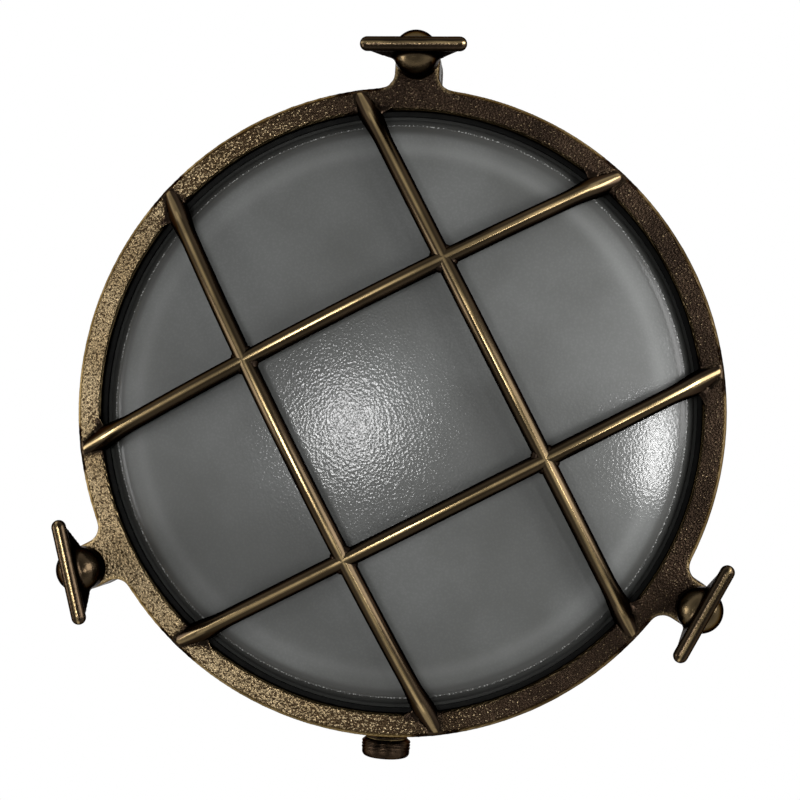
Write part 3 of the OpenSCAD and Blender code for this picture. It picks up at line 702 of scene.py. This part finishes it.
# the corners round each crossing are darkened with the hollows' colour
corner = fade(from_crossing(x, y), 5.5, 8.5) * on_skin
hollow = np.maximum(smooth_step(-swell, 0.04, 0.22), 0.45 * filled)
hollow *= 1.0 - 0.6 * smooth_step(radius, RING_IN + 0.5, RING_IN + 2.5)
hollow = np.maximum(hollow, 0.85 * corner)
near_crest = 0.03 + 0.23 * smooth_step(from_crest, -1.6, -0.3)
near_crest *= 1.0 - 0.6 * smooth_step(radius, TIP_R, TIP_R + 5.0)
thin = np.where(on_skin, 0.10 * fade(off, 2.6, 3.4) * (1.0 - corner), near_crest)
print("bare crest points:", int((crest_line > 0.5).sum()), "dirty points:", int((hollow > 0.5).sum()))

# %% Rubbed face and edges of the ring, with painted light on its left side
PALE_TOWARDS = math.radians(198)
rim = np.clip((radius - RING_IN) / (RING - RING_IN), 0.0, 1.0)
near_bar = fade(off, 3.4 - 2.0 * rim, 4.8 - 2.4 * rim)
flat = smooth_step(z, FACE - 0.30, FACE - 0.08) * fade(z, FACE + 0.25, FACE + 0.9)
flat = flat * (radius > RING_IN - 1.0) * on_skin * (1.0 - 0.9 * near_bar)
# the paler left side: partly wear, partly painted light
pale_side = smooth_step(np.cos(np.arctan2(y, x) - PALE_TOWARDS), -0.30, 0.97)
edge, convex = smooth_step(swell, 0.12, 0.40), smooth_step(swell, 0.03, 0.12)
bevel = smooth_step(radius, RING - 1.4, RING - 0.7) * smooth_step(z, FACE - 2.2, FACE - 1.4) * convex
inner_edge = smooth_step(z, FACE - 0.9, FACE - 0.5) * fade(np.abs(radius - RING_IN), 0.35, 0.8)
# rubbed edges, with painted highlights on the bevel and inner edge that grow towards the lit left side
bright = np.maximum.reduce([0.35 * edge * (0.3 + 0.7 * pale_side), bevel * (0.36 + 0.59 * pale_side),
                            0.7 * inner_edge * (0.40 + 0.60 * pale_side)])
bright = bright * smooth_step(off, 5.5, 8.5) * on_skin
rub = np.maximum.reduce([crest_line, 0.42 * leaf, bright])
print("points on the pebbled face:", int((flat > 0.5).sum()))


# %% Dress the cage
def dress(mesh, material, **marks):
    """Smooth shading, one material, and numbers on the mesh's points."""
    mesh.materials.clear()
    mesh.materials.append(material)
    mesh.polygons.foreach_set("material_index", np.zeros(len(mesh.polygons), np.int32))
    mesh.polygons.foreach_set("use_smooth", np.ones(len(mesh.polygons), bool))
    if "sharp_edge" in mesh.attributes:
        mesh.attributes.remove(mesh.attributes["sharp_edge"])
    for key, values in marks.items():
        layer = mesh.attributes.new(key, "FLOAT", "POINT")
        values = np.clip(np.zeros(len(mesh.vertices)) + values, 0.0, 1.0)
        layer.data.foreach_set("value", values.astype(np.float32))
    mesh.update()


def piece(name, mesh, body, slot, *stands_for):
    """Puts a finished mesh into the scene, on a body of the frame."""
    thing = bpy.data.objects.new(name, mesh)
    scene.collection.objects.link(thing)
    if stands_for:
        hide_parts(*stands_for)
    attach(thing, body)
    print(name, "has", sum(len(f.vertices) - 2 for f in mesh.polygons), "triangles")


# grain tops paler towards the left: partly wear, partly painted light
worn = flat * (0.16 + 0.84 * pale_side)
dress(cage_mesh, dark_brass, rub=rub, worn=worn, thin=thin, grain=flat, hollow=hollow)
piece("cage", cage_mesh, "housing", "antique_bronze", "cage_ring")

# %% [markdown]
# ## Housing
# The dish behind the ring carries the studs and the gland and sits on the wall. It is cast in sand as well, so
# it gets the same skin from slightly larger voxels. Its face to the wall is ground flat, which leaves little
# grain there, and years of hands have rubbed its rim and the corners of its lugs. Its patina is also thinner
# and paler on that face: painted light for the back, which gets little light.

# %% Housing
HOUSING_VOXEL = 0.00120
housing_mesh = cast_skin("back_housing", HOUSING_VOXEL, 2)
filled = soften_hollows(housing_mesh, 8, 1)
swell = bulge(housing_mesh)
on_wall = fade(drawing(housing_mesh)[2], 0.3, 1.0)
# thinner, paler patina on the face to the wall: painted light for the back
dress(housing_mesh, dark_brass, rub=0.34 * smooth_step(swell, 0.10, 0.34), worn=0.22 - 0.12 * on_wall,
      thin=0.10 + 0.22 * on_wall, grain=0.85 - 0.6 * on_wall,
      hollow=np.maximum(smooth_step(-swell, 0.05, 0.25), 0.5 * filled))
piece("housing_casting", housing_mesh, "housing", "antique_bronze", "back_housing")

# %% [markdown]
# ## Wing nuts
# Each nut is a small casting: a domed blind hub, and two webs that carry a round bar. The same cast skin
# works, with finer voxels. Fingers polish the hub's dome, and a fine painted highlight runs along the bar.

# %% Wing nuts
NUT_VOXEL = 0.00032
STUD_REACH = 108.5  # the studs' distance from the light's axis
NUTS = (("top", 90, 2.0, 0.13), ("left", 210, -13.5, 0.03), ("right", 330, 4.0, 0.17))
for side, angle, yaw, shine in NUTS:
    nut_mesh = cast_skin(f"wing_nut_{side}", NUT_VOXEL, 3)
    filled = soften_hollows(nut_mesh, 16, 2)
    swell = bulge(nut_mesh)
    x, y, z = drawing(nut_mesh)
    stud, wing, above = math.radians(angle), math.radians(angle + 90 + yaw), z - FACE
    x, y = x - STUD_REACH * math.cos(stud), y - STUD_REACH * math.sin(stud)
    beside = np.abs(-x * math.sin(wing) + y * math.cos(wing))
    hub = fade(np.hypot(x, y), 4.2, 6.6) * smooth_step(above, 6.0, 10.0) * smooth_step(beside, 1.9, 2.4)
    # a fine line of painted highlight along the top of the bar
    seam = fade(beside, 0.12, 0.42) * smooth_step(above, 19.6, 20.2)
    ends = smooth_step(swell, 0.42, 0.60) * smooth_step(above, 16.0, 17.0)
    dress(nut_mesh, dark_brass, rub=np.maximum.reduce([shine * hub, 0.8 * seam, 0.25 * ends]), worn=0.0,
          thin=0.13, grain=0.06, hollow=0.7 * np.maximum(smooth_step(-swell, 0.05, 0.30), 0.5 * filled))
    piece(f"cast_nut_{side}", nut_mesh, f"{side}_nut", "antique_bronze", f"wing_nut_{side}")

# %% [markdown]
# ## Glass dome
# The dome is pressed glass with a low crown, a rounded shoulder with a fine moulded line, and a flat flange
# that the gaskets grip. It is round, so its outline is turned about the light's axis. A lathe in bmesh keeps
# every normal smooth, which a faceted solid can't do for glass.

# %% The dome's outline
CROWN, WALL = 74.5, 3.5  # the crown's distance from the wall, and the glass's thickness
SHOULDER_R, SHOULDER_OUT, ROUND = 84.0, 55.5, 7.0  # middle and radius of the shoulder's rounding
FLANGE_R, FLANGE_FRONT, FLANGE_BACK, EASED = 95.7, 58.0, 54.5, 0.5
BEAD_AT, BEAD_WIDE, BEAD_HIGH = 53.0, 2.6, 0.14  # the moulded line, in degrees round the shoulder, and in mm


def bow(centre_r, centre_out, radius, start, end, count):
    """Points on a circle, by angle in degrees from straight out sideways."""
    angles = [math.radians(start + (end - start) * i / count) for i in range(count + 1)]
    return [(centre_r + radius * math.cos(a), centre_out + radius * math.sin(a)) for a in angles]


drop = CROWN - SHOULDER_OUT
crown_r = (SHOULDER_R ** 2 + drop ** 2 - ROUND ** 2) / (2 * (drop - ROUND))
crown_c = CROWN - crown_r
meets = math.degrees(math.atan2(SHOULDER_OUT - crown_c, SHOULDER_R))
seat_angle = math.degrees(math.asin((FLANGE_FRONT - SHOULDER_OUT) / ROUND))
shoulder = []
for r, out in bow(SHOULDER_R, SHOULDER_OUT, ROUND, meets, seat_angle, 60):
    turn = math.atan2(out - SHOULDER_OUT, r - SHOULDER_R)
    bead = BEAD_HIGH * math.exp(-((math.degrees(turn) - BEAD_AT) / BEAD_WIDE) ** 2)
    shoulder.append((r + bead * math.cos(turn), out + bead * math.sin(turn)))
outer = [(0.0, CROWN)] + bow(0, crown_c, crown_r, 90, meets, 84)[1:] + shoulder[1:]
flange = [(FLANGE_R - EASED, FLANGE_FRONT), (FLANGE_R, FLANGE_FRONT - EASED), (FLANGE_R, FLANGE_BACK + EASED),
          (FLANGE_R - EASED, FLANGE_BACK), (SHOULDER_R + ROUND - WALL, FLANGE_BACK)]
inner = bow(SHOULDER_R, SHOULDER_OUT, ROUND - WALL, 0, meets, 16)
inner += bow(0, crown_c, crown_r - WALL, meets, 90, 30)[1:-1] + [(0.0, CROWN - WALL)]
print("dome outline:", len(outer + flange + inner), "points, crown radius", round(crown_r, 1), "mm")


# %% A lathe
def on_axis(r, turn, out):
    """A place round the light's own axis."""
    return spot(r * math.cos(turn), r * math.sin(turn), out)


def turned(name, outline, slices, place=on_axis):
    """An outline of (radius, length) in millimetres, turned about an axis; radius 0 is a pole."""
    work = bmesh.new()
    rings = []
    for r, length in outline:
        turns = [0.0] if r < 1e-6 else [2 * math.pi * k / slices for k in range(slices)]
        rings.append([work.verts.new(place(r, turn, length)) for turn in turns])
    for one, other in zip(rings, rings[1:]):
        for k in range(slices):
            corners = [one[k % len(one)], one[(k + 1) % len(one)],
                       other[(k + 1) % len(other)], other[k % len(other)]]
            work.faces.new(list(dict.fromkeys(corners)))
    bmesh.ops.remove_doubles(work, verts=work.verts, dist=1e-7)
    bmesh.ops.recalc_face_normals(work, faces=work.faces)
    mesh = bpy.data.meshes.new(name)
    work.to_mesh(mesh)
    work.free()
    return mesh


dome_mesh = turned("dome", outer + flange + inner, 224)
print("dome:", len(dome_mesh.polygons), "faces")

# %% [markdown]
# ## Frosted glass
# The glass is pressed with fine pebbles and frosted, so it looks grey and lets little through. The pebbles
# glitter only where a lamp is mirrored, so they are relief on a clear coat over a dull, slightly clear body.
# A plain glass shader with a rough surface would show the lamp inside. Marks on the points say where the
# pebbles are deep, where a pale band of painted reflection lies near the edge, where the shoulder is darkened
# with painted shade, and where its line carries painted glints.

# %% Frosted, pebbled glass
GREY_GLASS = (0.128, 0.132, 0.125, 1), (0.205, 0.212, 0.206, 1)
BETWEEN_PEBBLES, PALE_BAND = (0.06, 0.062, 0.06, 1), (0.40, 0.41, 0.40, 1)
DARK_SHOULDER, GLINT = (0.078, 0.079, 0.074, 1), (0.88, 0.89, 0.86, 1)


def frosted_glass(name):
    """Dull grey glass under a clear, pebbled coat; its colour carries painted reflection, shade and glints."""
    uniform = {"IOR": 1.5, "Transmission Weight": 0.20, "Coat Roughness": 0.12, "Coat IOR": 1.5}
    material, tree, shader = new_finish(name, uniform)
    where = add(tree, "ShaderNodeTexCoord").outputs["Object"]
    pebble = pebbles(tree, where, 1250.0, 0.6)
    grit, cloud, fleck = (noise(tree, where, *size) for size in ((3000.0, 2.0), (24.0, 3.0), (1700.0, 1.0)))
    deep, side, bead, band = (mark(tree, key) for key in ("deep", "side", "bead", "band"))
    height = calc(tree, "MULTIPLY", calc(tree, "ADD", pebble, calc(tree, "MULTIPLY", grit, 0.4)), deep)
    bump = add(tree, "ShaderNodeBump", {"Strength": 0.36, "Distance": 0.00020, "Height": height})
    soft = add(tree, "ShaderNodeBump", {"Strength": 0.22, "Distance": 0.00015, "Height": height})
    # patches of lighter and darker grey stand in for soft reflections of the room: painted reflection
    colour = mix(tree, ease(tree, cloud, 0.32, 0.72), *GREY_GLASS)
    # darker between the pebbles: painted shade
    colour = mix(tree, ease(tree, pebble, 0.15, 0.60, 0.0, 0.16), colour, BETWEEN_PEBBLES)
    # a pale band near the edge, stronger towards the upper right: painted reflection
    colour = mix(tree, band, colour, PALE_BAND)
    # the shoulder under the ring's edge is darkened: painted shade
    colour = mix(tree, side, colour, DARK_SHOULDER)
    # white flecks along the moulded line: painted glints
    colour = mix(tree, calc(tree, "MULTIPLY", bead, ease(tree, fleck, 0.54, 0.64)), colour, GLINT)
    plug(tree, shader, Base_Color=colour, Roughness=ease(tree, grit, 0.3, 0.7, 0.40, 0.52),
         Normal=soft.outputs["Normal"], Coat_Weight=ease(tree, side, 0.0, 1.0, 1.0, 0.25),
         Coat_Normal=bump.outputs["Normal"])
    return material


def hump(value, middle, width):
    """1 at the middle, falling off on both sides."""
    return np.exp(-((value - middle) / width) ** 2)


x, y, z = drawing(dome_mesh)
radius, outside = np.hypot(x, y), z > 56.0
bead_r = SHOULDER_R + ROUND * math.cos(math.radians(BEAD_AT))
upper_right = smooth_step(np.cos(np.arctan2(y, x) - math.radians(40)), -0.9, 0.9)
# painted reflection in the band, painted shade on the shoulder, painted glints on the moulded line
dress(dome_mesh, frosted_glass("frosted_glass"), deep=1.0 - 0.66 * smooth_step(radius, 38.0, 78.0),
      band=(0.14 + 0.15 * upper_right) * hump(radius, 80.6, 2.4) * outside,
      side=smooth_step(radius, 84.3, 86.5) * outside, bead=0.75 * hump(radius, bead_r, 0.24) * outside)
piece("dome", dome_mesh, "housing", "frosted_glass", "glass_dome")

# %% [markdown]
# ## Turned brass, steel, rubber and china
# The studs, washers and gland are turned on a lathe; the steel strip is plated; the gaskets are black rubber
# with a bloom; the lampholder is glazed china. Each is one small tree on Object coordinates, and each solid
# keeps its own shape, which is already right for these small pieces.


# %% Finishes for the small pieces
def speckled(name, uniform, dark, pale, scale, rough, relief):
    """A finish whose colour, gloss and relief vary with a noise of one size."""
    material, tree, shader = new_finish(name, uniform)
    where = add(tree, "ShaderNodeTexCoord").outputs["Object"]
    patch, fine = noise(tree, where, scale, 4.0), noise(tree, where, scale * 9, 2.0)
    colour = mix(tree, ease(tree, patch, 0.32, 0.70), dark + (1,), pale + (1,))
    gloss = ease(tree, calc(tree, "ADD", patch, calc(tree, "MULTIPLY", fine, 0.4)), 0.4, 1.0, *rough)
    bump = add(tree, "ShaderNodeBump", {"Strength": 0.4, "Distance": relief, "Height": fine})
    plug(tree, shader, Base_Color=colour, Roughness=gloss, Normal=bump.outputs["Normal"])
    return material


CLEAN = {"Metallic": 1.0}
TARNISHED = {"Metallic": 1.0, "Specular Tint": (0.35, 0.32, 0.28, 1)}
MATT = {"Specular IOR Level": 0.15}
GLAZE, SATIN = {"Coat Weight": 1.0, "Coat Roughness": 0.08}, {"Coat Weight": 0.6, "Coat Roughness": 0.15}
# each finish: all over, dark and pale colour, patches per metre, least and most roughness, relief in metres
finish = {name: speckled(name, *values) for name, values in {
    "dull_brass": (TARNISHED, (0.05, 0.036, 0.018), (0.16, 0.115, 0.055), 160.0, (0.28, 0.48), 0.00004),
    "clean_brass": (CLEAN, (0.42, 0.31, 0.13), (0.58, 0.45, 0.20), 160.0, (0.22, 0.40), 0.00003),
    "dark_turned_brass": (TARNISHED, (0.012, 0.008, 0.006), (0.052, 0.034, 0.021), 240.0, (0.24, 0.42),
                          0.00005),
    "plated_steel": (CLEAN, (0.42, 0.42, 0.40), (0.58, 0.58, 0.56), 120.0, (0.25, 0.45), 0.00003),
    "black_rubber": (MATT, (0.003, 0.003, 0.003), (0.009, 0.009, 0.008), 300.0, (0.7, 0.9), 0.00004),
    "glazed_china": (GLAZE, (0.70, 0.68, 0.63), (0.78, 0.76, 0.71), 60.0, (0.3, 0.45), 0.00003),
    "opal_glass": (SATIN, (0.80, 0.80, 0.78), (0.86, 0.86, 0.84), 40.0, (0.35, 0.5), 0.00002)}.items()}
print("finishes:", ", ".join(finish))

# %% Finishes onto the solids
WEARS = {
    "black_rubber": ("front_gasket", "rear_gasket", "gland_seal"), "glazed_china": ("lampholder",),
    "opal_glass": ("lamp",), "plated_steel": ("holder_bracket", "holder_screws", "bracket_screws"),
    "clean_brass": ("screw_shell", "centre_contact", "terminal_screws", "earth_screw")}
worn_by = {node: name for name, wearers in WEARS.items() for node in wearers}
for node, thing in nodes.items():
    thing.material_slots[0].material = finish[worn_by.get(node, "dull_brass")]
print("finishes on", len(nodes), "solids")

# %% [markdown]
# ## Cable gland
# Below the ring the gland shows a threaded neck and a rounded cap with fine rings. The cap is turned like the
# dome, about its own axis, which points straight down.

# %% The gland's cap
GLAND_OUT = 31.0  # the gland's axis, out from the wall
CAP_START, CAP_END, CAP_R = 105.6, 111.6, 7.7
NECK_R, CABLE_R, LIP, NOSE = 6.56, 3.92, 1.6, 1.5  # bores for neck and cable, the cap's lip, and its rounding


def on_gland(r, turn, length):
    """A place round the gland's axis."""
    return spot(r * math.cos(turn), -length, GLAND_OUT + r * math.sin(turn))


cap_outline = [(NECK_R, CAP_START), (CAP_R - 0.9, CAP_START), (CAP_R - 0.1, CAP_START + 0.8)]
cap_outline += bow(CAP_R - NOSE, CAP_END - NOSE, NOSE, 0, 84, 10)
cap_outline += [(4.3, CAP_END), (CABLE_R, CAP_END - 0.35), (CABLE_R, CAP_END - LIP), (NECK_R, CAP_END - LIP)]
cap_mesh = turned("gland_end", cap_outline + cap_outline[:1], 96, on_gland)
dress(cap_mesh, finish["dark_turned_brass"])
piece("gland_end", cap_mesh, "housing", "antique_bronze", "gland_cap")

# %% [markdown]
# ## The gland's rings
# A thread repeats, so Geometry Nodes set one ring of wire again and again along the gland's axis, once for
# the neck and once for the cap. A true helix would look the same at this size and cost more faces.

# %% The rings' tree
neck_sizes = {"Rings": 4, "Pitch": 1.05 * MM, "Radius": 6.45 * MM, "Wire": 0.45 * MM,
              "Out": GLAND_OUT * MM, "First": 101.7 * MM}
cap_sizes = {"Rings": 3, "Pitch": 1.0 * MM, "Radius": 7.5 * MM, "Wire": 0.38 * MM,
             "Out": GLAND_OUT * MM, "First": 106.7 * MM}
tree, ring_in, ring_out = new_tree("gland_rings", neck_sizes)
hoop = add(tree, "GeometryNodeCurvePrimitiveCircle", {"Resolution": 72, "Radius": ring_in["Radius"]})
wire = add(tree, "GeometryNodeCurvePrimitiveCircle", {"Resolution": 8, "Radius": ring_in["Wire"]})
tube = add(tree, "GeometryNodeCurveToMesh", {"Curve": hoop.outputs[0], "Profile Curve": wire.outputs[0]})
out_y, first_z, step_z = (calc(tree, "MULTIPLY", ring_in[key], -1.0) for key in ("Out", "First", "Pitch"))
row = add(tree, "GeometryNodeMeshLine", {
    "Count": ring_in["Rings"],
    "Start Location": add(tree, "ShaderNodeCombineXYZ", {"Y": out_y, "Z": first_z}).outputs[0],
    "Offset": add(tree, "ShaderNodeCombineXYZ", {"Z": step_z}).outputs[0]})
stack = add(tree, "GeometryNodeInstanceOnPoints", {"Points": row.outputs[0], "Instance": tube.outputs[0]})
solid = add(tree, "GeometryNodeRealizeInstances", {"Geometry": stack.outputs[0]})
painted = add(tree, "GeometryNodeSetMaterial", {
    "Geometry": solid.outputs[0], "Material": finish["dark_turned_brass"]})
tree.links.new(painted.outputs[0], ring_out["Geometry"])
print("gland rings:", len(tree.nodes), "nodes")

# %% Grow the rings
gland_rings = joined("gland_rings", grow(tree, neck_sizes, "neck_rings"), grow(tree, cap_sizes, "cap_rings"))
dress(gland_rings, finish["dark_turned_brass"])
piece("gland_rings", gland_rings, "housing", "antique_bronze")
